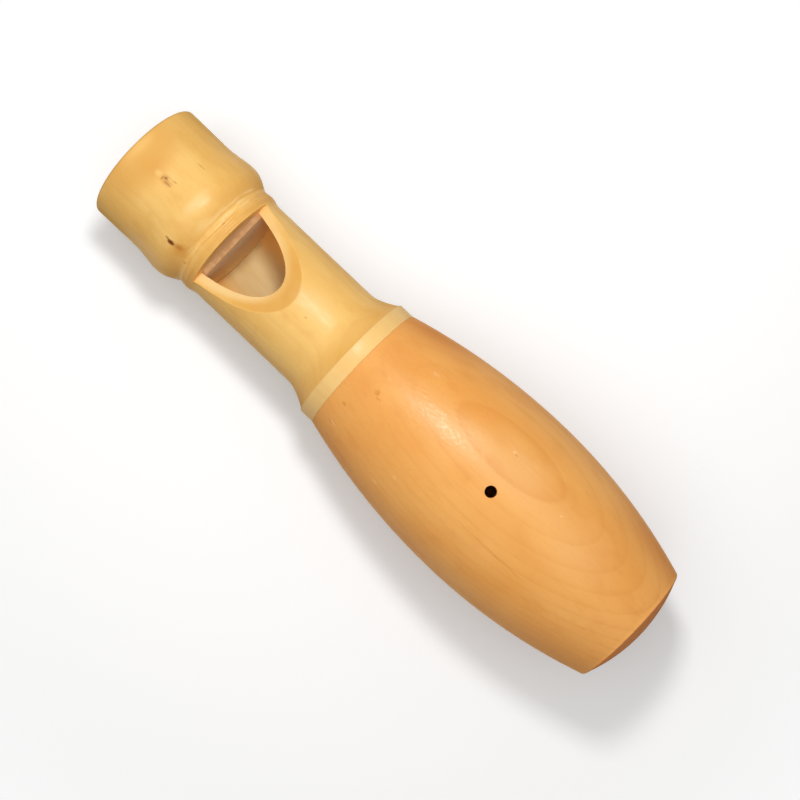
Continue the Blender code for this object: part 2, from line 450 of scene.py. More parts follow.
def make_block(materials):
    """The plug in the bore, with a flat that is the windway's floor and its edges broken."""
    radius = BORE_RADIUS - BLOCK_GAP
    shoulder = math.asin(BLOCK_FLAT_HEIGHT / radius)
    shape = bmesh.new()
    outline = arc((0.0, 0.0), radius, shoulder, -math.pi - shoulder, WALL_COLUMNS * 2)
    face = shape.faces.new([shape.verts.new((BLOCK_RECESS, y, z)) for y, z in outline])
    moved = bmesh.ops.extrude_face_region(shape, geom=[face], use_keep_orig=True)["geom"]
    ends = [v for v in moved if isinstance(v, bmesh.types.BMVert)]
    bmesh.ops.translate(shape, verts=ends, vec=(BLOCK_END_X - BLOCK_RECESS, 0.0, 0.0))
    bmesh.ops.recalc_face_normals(shape, faces=shape.faces)
    sharp = [edge for edge in shape.edges if edge.calc_face_angle() > SHARP_ANGLE]
    bmesh.ops.bevel(shape, geom=sharp, offset=BLOCK_EDGE, segments=BEVEL_STEPS, profile=0.5, affect="EDGES")
    return laid_mesh("block_wood", shape, materials)


def round_skin(shape, profile, place, count):
    """Rings of vertices for an outline turned round an axis, with its ends on the axis as single points."""
    turns = [math.tau * i / count for i in range(count)]
    rings = []
    for distance, radius in profile:
        if radius == 0.0:
            rings.append([shape.verts.new(place(distance, radius, 0.0))] * count)
        else:
            rings.append([shape.verts.new(place(distance, radius, turn)) for turn in turns])
    return rings


def dome(base_x, foot_radius, height, steps):
    """A shallow round cap, from its middle on the axis out to its foot."""
    radius = (foot_radius**2 + height**2) / (2 * height)
    return arc((base_x + height - radius, 0.0), radius, 0.0, math.asin(foot_radius / radius), steps)


def body_inside():
    """From the chamber's drilled tip to the chamfered mouth of the socket."""
    rim_x = COLLAR_END_X + SEAM_GAP
    points = [(CHAMBER_TIP_X, 0.0)]
    chamber = [CHAMBER_END_X, *even(CHAMBER_END_X, SOCKET_END_X, CHAMBER_ROWS)]
    points += [(x, CHAMBER_RADIUS) for x in chamber]
    points += [(SOCKET_END_X, SOCKET_RADIUS), (rim_x + SOCKET_CHAMFER, SOCKET_RADIUS)]
    return points + [(rim_x, SOCKET_RADIUS + SOCKET_CHAMFER)]


def barrel_radius(x):
    """Outer radius of the barrel, near enough for marks on its wall."""
    edge = RIM_RADIUS if x < BELLY_X else END_RADIUS
    end = COLLAR_END_X if x < BELLY_X else END_X
    return BELLY_RADIUS - (BELLY_RADIUS - edge) * ((x - BELLY_X) / (end - BELLY_X)) ** 2


def body_outside():
    """From the rim under the collar over the belly to the middle of the domed end."""
    belly = (BELLY_X, BELLY_RADIUS)
    rim = (COLLAR_END_X + SEAM_GAP + LIP_ROUND, RIM_RADIUS)
    edge = (END_X - END_EDGE_ROUND, END_RADIUS)
    points = arc((rim[0], RIM_RADIUS - LIP_ROUND), LIP_ROUND, math.pi, math.pi / 2, LIP_STEPS)
    points += bulge(belly, rim, BARREL_ROWS)[-2::-1]
    points += bulge(belly, edge, BARREL_ROWS)[1:]
    foot_radius = END_RADIUS - END_EDGE_ROUND
    points += arc((edge[0], foot_radius), END_EDGE_ROUND, math.pi / 2, 0.0, END_EDGE_STEPS)[1:]
    return points + dome(END_X, foot_radius, DOME_HEIGHT, DOME_ROWS)[-2::-1]


def hole_cutter(materials):
    """A drill for the finger hole, which eases the hole's edge where it leaves the wood."""

    def place(height, radius, angle):
        return (FINGER_HOLE_X + radius * math.cos(angle), radius * math.sin(angle), height)

    edge = (FINGER_HOLE_RADIUS + FINGER_HOLE_ROUND, BELLY_RADIUS - FINGER_HOLE_ROUND)
    eased = arc(edge, FINGER_HOLE_ROUND, math.pi, math.pi / 2, ROUND_STEPS)
    top = BELLY_RADIUS + FINGER_HOLE_RADIUS
    profile = [(0.0, 0.0), (0.0, FINGER_HOLE_RADIUS)]
    profile += [(height, radius) for radius, height in eased]
    profile += [(top, eased[-1][0]), (top, 0.0)]
    shape = bmesh.new()
    skin(shape, round_skin(shape, profile, place, HOLE_COLUMNS), RAW)
    return laid_mesh("hole_cutter", shape, materials)


def make_body(materials):
    """The barrel: socket and chamber inside, and the finger hole drilled through its upper wall."""
    shape = bmesh.new()
    inside = body_inside()
    rings = round_skin(shape, inside + body_outside(), on_wall, BODY_COLUMNS)
    skin(shape, rings[: len(inside)], RAW)
    skin(shape, rings[len(inside) - 1 :], FINISHED)
    body = laid_mesh("body_wood", shape, materials)
    cutter = hole_cutter(materials)
    boolean = body.modifiers.new("finger_hole", "BOOLEAN")
    boolean.operation = "DIFFERENCE"
    boolean.solver = "EXACT"
    boolean.object = cutter
    drilled = bpy.data.meshes.new_from_object(body.evaluated_get(bpy.context.evaluated_depsgraph_get()))
    body.modifiers.clear()
    body.data = drilled
    drilled.set_sharp_from_angle(angle=SHARP_ANGLE)
    bpy.data.objects.remove(cutter)
    return body


def srgb(red, green, blue):
    """A colour as it is seen on a screen, from 0 to 255, as linear light."""
    shares = [value / 255 for value in (red, green, blue)]
    linear = [s / 12.92 if s <= 0.04045 else ((s + 0.055) / 1.055) ** 2.4 for s in shares]
    return (*linear, 1.0)


# Colours of the woods, and of light and shade painted on them
BOXWOOD_PALE = srgb(247, 199, 116)
BOXWOOD_WARM = srgb(242, 188, 100)
BOXWOOD_DEEP = srgb(226, 164, 78)
BOXWOOD_RED = srgb(206, 124, 66)
BOXWOOD_END = srgb(222, 156, 66)
BOXWOOD_BARE = srgb(250, 211, 145)
KNOT_BROWN = srgb(160, 74, 0)
KNOT_DARK = srgb(120, 56, 0)
RAW_PALE = srgb(238, 213, 156)
RAW_BROWN = srgb(228, 197, 137)
RAW_DEEP = srgb(220, 164, 98)
# Painted bounce light: a warmer orange for the bores' walls, in place of light thrown back into their shade
RAW_PAINTED_BOUNCE = srgb(255, 194, 106)
BLOCK_FLAT = srgb(201, 146, 97)
BLOCK_PALE = srgb(217, 171, 117)
# Pale sawn ends of the plug: partly their own colour, and partly painted light on end faces that lie in
# shade
BLOCK_END = srgb(255, 228, 184)
# Painted light and shade on the plug: paler than its flat under the windway's roof, and warmer and darker
# than its sawn ends at their top
BLOCK_PAINTED_LIGHT_AND_SHADE = srgb(255, 203, 138)
ORANGE_PALE = srgb(246, 178, 96)
ORANGE_WARM = srgb(240, 166, 82)
ORANGE_DEEP = srgb(226, 144, 62)
ORANGE_BROWN = srgb(150, 84, 36)
ORANGE_RUST = srgb(186, 108, 4)
ORANGE_END = srgb(230, 142, 72)
ORANGE_LIGHT = srgb(255, 210, 150)

# Gloss of the wood, bare or lacquered, and the depth in metres of each surface's fine relief
GLOSS = 0.20
HEAD_RELIEF = 0.000020
RAW_RELIEF = 0.000025
BLOCK_RELIEF = 0.000020
BODY_RELIEF = 0.000028

# Share of a crisp mark's reach that has full strength, and the half width from which a mark is soft instead
CRISP = 0.4
BROAD = 0.7

# Marks in the wood, some of them painted highlights, painted light and painted shade, all in millimetres:
# place along the axis, degrees from the top, half sizes along the axis, round it and in depth, and then
# strength and colour
HEAD_MARKS_AND_PAINTED_LIGHT = (
    (5.0, 3.0, (3.8, 5.5, 4.0), 0.80, BOXWOOD_DEEP),
    # Painted highlight on the mouth's rounded edge
    (0.8, 6.0, (1.8, 5.0, 5.0), 0.60, BOXWOOD_PALE),
    (9.8, 9.0, (2.6, 2.6, 4.0), 0.60, BOXWOOD_PALE),
    (6.4, 1.0, (1.1, 0.9, 3.0), 0.80, BOXWOOD_PALE),
    (8.2, 1.4, (1.8, 1.2, 3.0), 0.40, KNOT_BROWN),
    (7.3, 0.6, (0.30, 0.60, 2.0), 0.40, KNOT_BROWN),
    (8.6, -0.6, (1.00, 0.24, 2.0), 0.45, KNOT_BROWN),
    (9.4, 4.8, (0.60, 0.15, 2.0), 0.45, KNOT_BROWN),
    (8.6, 3.0, (0.60, 0.30, 2.0), 0.50, BOXWOOD_PALE),
    (7.8, 2.2, (0.40, 0.30, 2.0), 0.60, KNOT_DARK),
    (10.3, 30.5, (1.30, 0.13, 2.0), 0.35, KNOT_BROWN),
    # Painted highlight on the swell's shoulder
    (14.2, 4.0, (1.5, 4.2, 3.0), 0.70, BOXWOOD_BARE),
    # Painted highlight running down the shoulder, in this row and the next
    (17.5, -6.0, (1.6, 3.2, 3.0), 0.80, BOXWOOD_PALE),
    (17.6, -4.0, (1.2, 2.6, 3.0), 0.25, BOXWOOD_BARE),
    (17.2, -36.0, (2.4, 2.2, 4.0), 0.90, BOXWOOD_END),
    (16.7, -33.5, (1.3, 0.8, 2.0), 0.45, KNOT_BROWN),
    (14.5, -32.6, (0.75, 0.26, 2.0), 0.60, KNOT_DARK),
    (15.3, -33.8, (0.90, 0.58, 2.0), 1.00, KNOT_DARK),
    (19.6, 8.6, (0.30, 0.42, 2.0), 0.50, BOXWOOD_RED),
    (18.7, -47.0, (0.36, 0.42, 2.0), 0.50, BOXWOOD_RED),
    # Painted highlight on the neck
    (39.0, 14.0, (6.0, 3.6, 3.0), 0.40, BOXWOOD_BARE),
    # Painted light on the neck's lower side near the flare, lifting its shade
    (41.0, -46.0, (7.0, 7.0, 5.0), 0.70, BOXWOOD_PALE),
    (39.9, -1.7, (0.20, 0.20, 1.0), 0.70, BOXWOOD_RED),
)
BODY_STAINS_AND_PAINTED_LIGHT = (
    # Painted highlight along the top of the barrel, in this row and the next
    (68.0, 10.0, (17.0, 6.0, 5.0), 0.28, ORANGE_LIGHT),
    (72.5, 17.0, (6.5, 2.6, 4.0), 0.40, ORANGE_LIGHT),
    (62.0, -26.0, (16.0, 8.0, 8.0), 0.30, ORANGE_DEEP),
    (54.5, -6.0, (5.0, 5.0, 5.0), 0.40, ORANGE_DEEP),
    (56.0, 21.0, (8.0, 4.5, 5.0), 0.40, ORANGE_DEEP),
    # Painted shade on the +Y side near the collar, darkening the side where white reflects
    (57.0, 68.0, (12.0, 7.0, 6.0), 0.95, ORANGE_DEEP),
    # Painted shade on both sides near the domed end, darkening where white reflects, in this row and the
    # next
    (106.0, 66.0, (14.0, 7.0, 7.0), 0.70, ORANGE_DEEP),
    (106.0, -55.0, (14.0, 8.0, 8.0), 0.45, ORANGE_DEEP),
    (92.0, 6.0, (15.0, 6.0, 6.0), 0.80, ORANGE_PALE),
    (82.0, 18.0, (14.0, 6.5, 6.0), 0.32, ORANGE_LIGHT),
    (97.0, 12.0, (12.0, 8.0, 8.0), 0.18, ORANGE_LIGHT),
)
BODY_MARKS = (
    (57.0, 8.0, (0.60, 0.30, 2.0), 0.20, ORANGE_LIGHT),
    (57.0, -4.5, (0.70, 0.60, 2.0), 0.45, ORANGE_RUST),
    (56.8, -4.6, (0.40, 0.30, 2.0), 0.50, ORANGE_WARM),
    (57.9, -7.0, (0.70, 0.24, 2.0), 0.36, ORANGE_RUST),
    (54.2, -28.0, (0.50, 0.32, 2.0), 0.36, ORANGE_RUST),
    (54.8, -47.0, (0.90, 0.26, 2.0), 0.40, ORANGE_LIGHT),
    (54.2, -48.5, (0.70, 0.22, 2.0), 0.30, ORANGE_RUST),
    (56.3, -54.0, (0.60, 0.22, 2.0), 0.30, ORANGE_LIGHT),
    (61.7, 31.5, (0.90, 0.60, 2.0), 0.20, ORANGE_LIGHT),
    (66.3, -50.5, (0.60, 0.24, 2.0), 0.45, ORANGE_LIGHT),
    (68.3, -35.5, (0.60, 0.22, 2.0), 0.35, ORANGE_LIGHT),
    (79.5, 26.0, (0.40, 0.30, 2.0), 0.55, ORANGE_LIGHT),
    (79.9, 25.2, (0.50, 0.14, 2.0), 0.50, ORANGE_RUST),
    (91.6, 18.0, (0.30, 0.30, 2.0), 0.55, ORANGE_LIGHT),
    (88.4, -25.6, (0.60, 0.20, 2.0), 0.15, ORANGE_RUST),
)
CRACK = (87.6, -25.2, (11.0, 0.22, 3.0), 0.19, ORANGE_RUST)

# Where hands have dented and polished the barrel: its place along the axis, degrees from the top, distance
# from the axis and half sizes
HANDLED = (67.0, 13.0, 15.0, (15.0, 7.0, 5.0))

# Growth rings of the barrel: degrees to the side that faces the bark, lengths in millimetres, the lean
# along the grain, and how late in a ring the wood darkens
RING_FACE_ANGLE = 25.5
PITH_DEPTH = 70.0
RING_SPACING = 1.25
FIRST_RING_DEPTH = 0.52
RING_SWAY = 0.4
RING_LEAN = 0.0255
RING_DARKENING = 5.0

# Table and light
FLOOR_HALF_SIZE = 3.0
FLOOR_WHITE = 0.98
FLOOR_BOUNCE = 0.28
FLOOR_LIFT = 0.12
SHADOW_NEAR = 0.07
SHADOW_FAR = 0.13
FILL_LIGHT = 0.33
KEY_PLACE = (-0.053, 0.064, 0.205)
KEY_SIZE = 0.035
KEY_POWER = 0.197
TOP_PLACE = (-0.02, -0.06, 0.40)
TOP_SIZE = 0.45
TOP_POWER = 0.58


class Nodes:
    """A node tree in the making: each call adds a node, sets or links its inputs and returns an output."""

    def __init__(self, tree):
        tree.nodes.clear()
        self.tree = tree

    def add(self, kind, inputs, **settings):
        node = self.tree.nodes.new(kind)
        for name, value in settings.items():
            setattr(node, name, value)
        for name, value in dict(inputs).items():
            if isinstance(value, bpy.types.NodeSocket):
                self.tree.links.new(value, node.inputs[name])
            else:
                node.inputs[name].default_value = value
        return node

    def maths(self, operation, *values):
        return self.add("ShaderNodeMath", enumerate(values), operation=operation).outputs["Value"]

    def times(self, first, second):
        return self.maths("MULTIPLY", first, second)

    def times_plus(self, first, second, third):
        return self.maths("MULTIPLY_ADD", first, second, third)

    def vector(self, operation, *values):
        return self.add("ShaderNodeVectorMath", enumerate(values), operation=operation).outputs["Vector"]

    def length(self, place):
        return self.add("ShaderNodeVectorMath", {0: place}, operation="LENGTH").outputs["Value"]

    def parts(self, place):
        return self.add("ShaderNodeSeparateXYZ", {"Vector": place}).outputs

    def noise(self, place, stretch, detail=2.0):
        """Noise from 0 to 1, with that many waves to the millimetre in each direction."""
        inputs = {"Vector": self.vector("MULTIPLY", place, stretch), "Scale": 1.0, "Detail": detail}
        return self.add("ShaderNodeTexNoise", inputs).outputs["Fac"]

    def span(self, value, low, high, start=0.0, end=1.0):
        """A smooth step from start, where the value is low, to end, where it is high."""
        inputs = {"Value": value, "From Min": low, "From Max": high, "To Min": start, "To Max": end}
        node = self.add("ShaderNodeMapRange", inputs, interpolation_type="SMOOTHSTEP")
        return node.outputs["Result"]

    def mix(self, share, first, second):
        """The first colour with a share of the second, by the numbers of the Mix node's colour sockets."""
        inputs = {0: share, 6: first, 7: second}
        return self.add("ShaderNodeMix", inputs, data_type="RGBA").outputs[2]

    def spot(self, place, x, angle, radius, size, core):
        """How far inside a blob on the wall a place is: sizes are half its length, width and depth."""
        turn = math.radians(angle)
        inputs = {
            "Vector": place,
            "Location": (x, radius * math.sin(turn), radius * math.cos(turn)),
            "Rotation": (-turn, 0.0, 0.0),
            "Scale": size,
        }
        local = self.add("ShaderNodeMapping", inputs, vector_type="TEXTURE").outputs["Vector"]
        return self.span(self.length(local), 1.0, core)


def new_material(name):
    """A material with a Principled shader, and its nodes."""
    material = bpy.data.materials.new(name)
    material.use_nodes = True
    nodes = Nodes(material.node_tree)
    shader = nodes.add("ShaderNodeBsdfPrincipled", {"Specular IOR Level": GLOSS})
    nodes.add("ShaderNodeOutputMaterial", {"Surface": shader.outputs["BSDF"]})
    return material, nodes, shader


def untilted(nodes, vector):
    """A vector of the whistle as it lies, turned so that the whistle's axis is level."""
    inputs = {"Vector": vector, "Angle": TILT}
    return nodes.add("ShaderNodeVectorRotate", inputs, rotation_type="Y_AXIS").outputs["Vector"]


def along_axis(nodes):
    """Places in the wood in millimetres along the whistle's own axis, from its mouth."""
    lying = nodes.add("ShaderNodeTexCoord", {}).outputs["Object"]
    turned = untilted(nodes, nodes.vector("SUBTRACT", lying, tuple(MOUTH)))
    return nodes.vector("MULTIPLY", turned, (MILLIMETRES, MILLIMETRES, MILLIMETRES))


def off_axis(nodes, place):
    """A place's offset from the axis, square to it."""
    return nodes.vector("MULTIPLY", place, (0.0, 1.0, 1.0))


def end_grain(nodes, low, high):
    """How far a surface cuts across the grain: 0 up to a low share of a square cut, 1 from a high one."""
    facing = nodes.add("ShaderNodeTexCoord", {}).outputs["Normal"]
    across = nodes.parts(untilted(nodes, facing))["X"]
    return nodes.span(nodes.maths("ABSOLUTE", across), low, high)


def growth_rings(nodes, place, pith, lean, spacing, first, sway, darkening):
    """Tone of the growth rings, from 0 in pale wood to 1 in a ring's dark end, and the count of rings.

    The pith is a place across the grain, from which the rings move away by the lean for each millimetre on
    from the mouth. The first ring's reach is counted from the pith, and the others lie inside it.
    """
    reach = nodes.length(nodes.vector("SUBTRACT", off_axis(nodes, place), (0.0, *pith)))
    reach = nodes.times_plus(nodes.parts(place)["X"], -lean, reach)
    drift = nodes.noise(place, (0.035, 0.07, 0.07), 1.0)
    reach = nodes.times_plus(drift, sway, reach)
    count = nodes.maths("DIVIDE", nodes.maths("SUBTRACT", first + sway / 2, reach), spacing)
    share = nodes.maths("FRACT", count)
    rise = nodes.maths("POWER", share, darkening)
    return nodes.times(rise, nodes.span(share, 1.0, 0.90)), count


def wander(nodes, place, scale, reach):
    """Places moved about a little, for marks that aren't drawn true."""
    inputs = {"Vector": place, "Scale": scale, "Detail": 2.0}
    noise = nodes.add("ShaderNodeTexNoise", inputs).outputs["Color"]
    offset = nodes.vector("MULTIPLY", nodes.vector("SUBTRACT", noise, (0.5, 0.5, 0.5)), reach)
    return nodes.vector("ADD", place, offset)


def marked(nodes, place, colour, marks, radius_at):
    """A colour with marks laid over it. Broad ones fade from their middle, and small ones are crisp."""
    for x, angle, size, strength, tint in marks:
        core = CRISP if size[1] < BROAD else 0.0
        mark = nodes.spot(place, x, angle, radius_at(x / MILLIMETRES) * MILLIMETRES, size, core)
        colour = nodes.mix(nodes.times(mark, strength), colour, tint)
    return colour


def satin(nodes, shader, colour, roughness, height, depth):
    """Wire colour, roughness and fine relief to a shader. The relief's depth is in metres."""
    bump = nodes.add("ShaderNodeBump", {"Strength": 1.0, "Distance": depth, "Height": height})
    nodes.tree.links.new(colour, shader.inputs["Base Color"])
    nodes.tree.links.new(roughness, shader.inputs["Roughness"])
    nodes.tree.links.new(bump.outputs["Normal"], shader.inputs["Normal"])


def boxwood_grain(nodes, place, fibre):
    """Colour of the pale wood as it grew: clouds, growth rings of uneven strength, mottle and fibres."""
    tone, count = growth_rings(
        nodes, place, pith=(-12.0, -30.0), lean=0.0, spacing=1.1, first=44.0, sway=1.2, darkening=2.0
    )
    ring = nodes.add("ShaderNodeTexWhiteNoise", {"W": nodes.maths("FLOOR", count)}, noise_dimensions="1D")
    late = nodes.times(tone, nodes.span(ring.outputs["Value"], 0.0, 1.0, 0.06, 0.26))
    cloud = nodes.noise(place, (0.06, 0.14, 0.14), 2.0)
    mottle = nodes.noise(place, (0.22, 0.34, 0.34), 3.0)
    colour = nodes.mix(nodes.span(cloud, 0.35, 0.68), BOXWOOD_PALE, BOXWOOD_WARM)
    colour = nodes.mix(late, colour, BOXWOOD_DEEP)
    colour = nodes.mix(nodes.span(mottle, 0.45, 0.75, 0.0, 0.35), colour, BOXWOOD_DEEP)
    return nodes.mix(nodes.span(fibre, 0.5, 0.85, 0.0, 0.25), colour, BOXWOOD_DEEP)


def with_ramp(nodes, place, colour):
    """A colour with the window's ramp in it: yellow where the ramp runs out, and bare wood further in,
    paler on the -Y side as painted light.
    """
    parts = nodes.parts(place)
    x = parts["X"]
    reach = nodes.length(off_axis(nodes, place))
    tip = nodes.times(nodes.span(reach, 9.98, 9.85, 0.0, 0.45), nodes.span(x, 26.0, 33.0))
    colour = nodes.mix(tip, colour, BOXWOOD_END)
    inward = nodes.maths("SUBTRACT", nodes.span(x, 22.0, 34.0, 10.2, 9.4), reach)
    cut = nodes.times(nodes.span(x, 20.8, 21.2), nodes.span(x, 36.0, 31.0))
    # Painted light: the bare wood is stronger on the ramp's -Y side than on its +Y side
    bare = nodes.times(nodes.span(inward, 0.0, 1.0), nodes.span(parts["Y"], -6.0, 6.0, 0.85, 0.45))
    return nodes.mix(nodes.times(bare, cut), colour, BOXWOOD_BARE)


def with_bead(nodes, place, bead, lathe, colour):
    """A colour with what the lathe left round the bead: a yellow lip, torn streaks and a scraped flank."""
    lip = nodes.times(bead, nodes.span(nodes.parts(place)["X"], 18.8, 20.8, 0.1, 0.50))
    colour = nodes.mix(lip, colour, BOXWOOD_END)
    torn = nodes.times(bead, nodes.span(lathe, 0.51, 0.62, 0.0, 0.45))
    colour = nodes.mix(torn, colour, BOXWOOD_END)
    flank = nodes.spot(place, 18.6, 0.0, 0.0, (1.3, 60.0, 60.0), CRISP)
    scraped = nodes.times(flank, nodes.span(lathe, 0.47, 0.40, 0.0, 0.60))
    return nodes.mix(scraped, colour, BOXWOOD_BARE)


def lacquered_boxwood():
    """Pale yellow, close-grained wood under satin lacquer, with small knots in the mouthpiece.

    The top of the mouth end is darker as painted shade, a few marks are painted highlights and painted
    light, the collar is bare and pale, and the lacquer is dull low on the sides.
    """
    material, nodes, shader = new_material("lacquered_boxwood")
    place = along_axis(nodes)
    parts = nodes.parts(place)
    x = parts["X"]
    across = end_grain(nodes, 0.1, 0.9)
    fibre = nodes.noise(place, (0.12, 3.4, 3.4), 3.0)
    lathe = nodes.noise(place, (1.6, 0.20, 0.20), 2.0)
    ripple = nodes.noise(place, (0.7, 1.2, 1.2), 2.0)
    bead = nodes.spot(place, 20.0, 0.0, 0.0, (1.7, 60.0, 60.0), CRISP)
    colour = boxwood_grain(nodes, place, fibre)
    colour = nodes.mix(nodes.times(across, nodes.span(x, 1.0, 3.0, 0.3, 0.7)), colour, BOXWOOD_END)
    colour = with_ramp(nodes, place, colour)
    # Painted shade: the top of the mouth end is made darker, against the light that it catches
    mouth_top_painted_shade = nodes.times(nodes.span(x, 8.0, 3.0), nodes.span(parts["Z"], 7.5, 10.5, 0.0, 0.66))
    colour = nodes.mix(mouth_top_painted_shade, colour, BOXWOOD_DEEP)
    collar = COLLAR_X * MILLIMETRES
    colour = nodes.mix(nodes.span(x, collar - 0.05, collar + 0.05, 0.0, 0.4), colour, BOXWOOD_BARE)
    colour = with_bead(nodes, place, bead, lathe, colour)
    colour = marked(nodes, wander(nodes, place, 1.3, (0.35, 0.25, 0.25)), colour, HEAD_MARKS_AND_PAINTED_LIGHT, head_radius)
    worn = nodes.times_plus(nodes.span(x, 9.0, 4.0), 0.25, nodes.span(ripple, 0.3, 0.7, 0.30, 0.40))
    roughness = nodes.times_plus(across, 0.25, worn)
    roughness = nodes.maths("ADD", roughness, nodes.span(parts["Z"], 7.0, 3.0, 0.0, 0.18))
    relief = nodes.times_plus(nodes.times(bead, lathe), 1.4, fibre)
    relief = nodes.times_plus(ripple, 1.6, relief)
    satin(nodes, shader, colour, roughness, relief, HEAD_RELIEF)
    return material


def raw_boxwood():
    """Cut wood without lacquer: dull, with open grain. It is pale at the bottom of the bore, and the walls
    above it and on its +Y side are painted warmer and more orange, as painted bounce light in their shade.
    """
    material, nodes, shader = new_material("raw_boxwood")
    place = along_axis(nodes)
    parts = nodes.parts(place)
    cloud = nodes.noise(place, (0.09, 0.25, 0.25), 3.0)
    fibre = nodes.noise(place, (0.25, 3.5, 3.5), 3.0)
    pores = nodes.noise(place, (1.1, 9.0, 9.0), 1.0)
    colour = nodes.mix(nodes.span(cloud, 0.3, 0.7), RAW_PALE, RAW_BROWN)
    colour = nodes.mix(nodes.span(fibre, 0.5, 0.8, 0.0, 0.14), colour, RAW_DEEP)
    colour = nodes.mix(nodes.span(pores, 0.68, 0.78, 0.0, 0.2), colour, RAW_DEEP)
    # Painted bounce light: the walls above the bore's bottom and on its +Y side turn warmer and more orange
    colour = nodes.mix(nodes.span(parts["Z"], -8.2, -5.0, 0.0, 0.9), colour, RAW_PAINTED_BOUNCE)
    colour = nodes.mix(nodes.span(parts["Y"], 1.5, 5.5, 0.0, 0.8), colour, RAW_PAINTED_BOUNCE)
    roughness = nodes.span(cloud, 0.3, 0.7, 0.62, 0.78)
    satin(nodes, shader, colour, roughness, fibre, RAW_RELIEF)
    return material


def block_wood():
    """The plug's bare wood: pinkish along the grain and pale across it, partly as painted light on its
    shaded end faces. Painted light makes its flat paler under the windway's roof, and painted shade makes
    the top of its sawn ends warmer and darker.
    """
    material, nodes, shader = new_material("block_wood")
    place = along_axis(nodes)
    parts = nodes.parts(place)
    mottle = nodes.noise(place, (0.5, 0.7, 0.7), 3.0)
    fibre = nodes.noise(place, (0.25, 3.5, 3.5), 3.0)
    colour = nodes.mix(nodes.span(mottle, 0.4, 0.65), BLOCK_FLAT, BLOCK_PALE)
    colour = nodes.mix(nodes.span(fibre, 0.5, 0.8, 0.0, 0.3), colour, BLOCK_FLAT)
    # Painted light: the flat under the windway's roof, where the roof shades it, is made paler
    colour = nodes.mix(nodes.span(parts["X"], 21.7, 21.1), colour, BLOCK_PAINTED_LIGHT_AND_SHADE)
    tone, _ = growth_rings(
        nodes, place, pith=(9.0, -22.0), lean=0.0, spacing=1.6, first=40.0, sway=1.0, darkening=2.0
    )
    sawn = nodes.mix(nodes.times(tone, 0.25), BLOCK_END, BLOCK_PALE)
    sawn = nodes.mix(nodes.span(fibre, 0.5, 0.8, 0.0, 0.15), sawn, BLOCK_PALE)
    # Painted shade: the top of the sawn ends is made warmer and darker
    sawn = nodes.mix(nodes.span(parts["Z"], 3.6, 5.2, 0.0, 0.9), sawn, BLOCK_PAINTED_LIGHT_AND_SHADE)
    sawn = nodes.mix(nodes.span(parts["X"], 2.0, 1.0, 0.0, 0.5), sawn, BOXWOOD_WARM)
    colour = nodes.mix(end_grain(nodes, 0.8, 0.99), colour, sawn)
    roughness = nodes.span(mottle, 0.3, 0.7, 0.62, 0.78)
    satin(nodes, shader, colour, roughness, fibre, BLOCK_RELIEF)
    return material


def orange_rings(nodes, place):
    """Tone and count of the barrel's growth rings, flat sawn, so that they form long ovals on its wall."""
    face = math.radians(RING_FACE_ANGLE)
    pith = (-PITH_DEPTH * math.sin(face), -PITH_DEPTH * math.cos(face))
    first = PITH_DEPTH + (BELLY_RADIUS - RING_LEAN * BELLY_X) * MILLIMETRES - FIRST_RING_DEPTH
    return growth_rings(nodes, place, pith, RING_LEAN, RING_SPACING, first, RING_SWAY, RING_DARKENING)


def orange_grain(nodes, place, rings, fibre, pores):
    """Colour of the orange wood as it grew: clouds, mottle, stains, growth rings, fibres and pores, with
    painted highlights and painted shade among the stains.
    """
    tone, count = rings
    late = nodes.times(tone, nodes.span(count, 0.0, 0.4, 0.56, 0.30))
    late = nodes.times(late, nodes.span(nodes.parts(place)["X"], 56.0, 68.0, 0.4, 1.0))
    cloud = nodes.noise(place, (0.05, 0.10, 0.10), 2.0)
    mottle = nodes.noise(place, (0.16, 0.30, 0.30), 3.0)
    colour = nodes.mix(nodes.span(cloud, 0.35, 0.68), ORANGE_PALE, ORANGE_WARM)
    colour = nodes.mix(nodes.span(mottle, 0.48, 0.75, 0.0, 0.32), colour, ORANGE_DEEP)
    colour = marked(nodes, place, colour, BODY_STAINS_AND_PAINTED_LIGHT, barrel_radius)
    colour = nodes.mix(late, colour, ORANGE_DEEP)
    colour = nodes.mix(nodes.span(fibre, 0.5, 0.85, 0.0, 0.20), colour, ORANGE_DEEP)
    return nodes.mix(nodes.span(pores, 0.68, 0.78, 0.0, 0.14), colour, ORANGE_BROWN)


def orange_end(nodes, tone, fibre, turned):
    """Colour of the orange wood's sawn end, with the circles that the tool left as it turned."""
    sawn = nodes.mix(nodes.times(tone, 0.5), ORANGE_END, ORANGE_BROWN)
    sawn = nodes.mix(nodes.span(fibre, 0.5, 0.75, 0.0, 0.4), sawn, ORANGE_BROWN)
    return nodes.mix(nodes.span(turned, 0.5, 0.75, 0.0, 0.35), sawn, ORANGE_WARM)


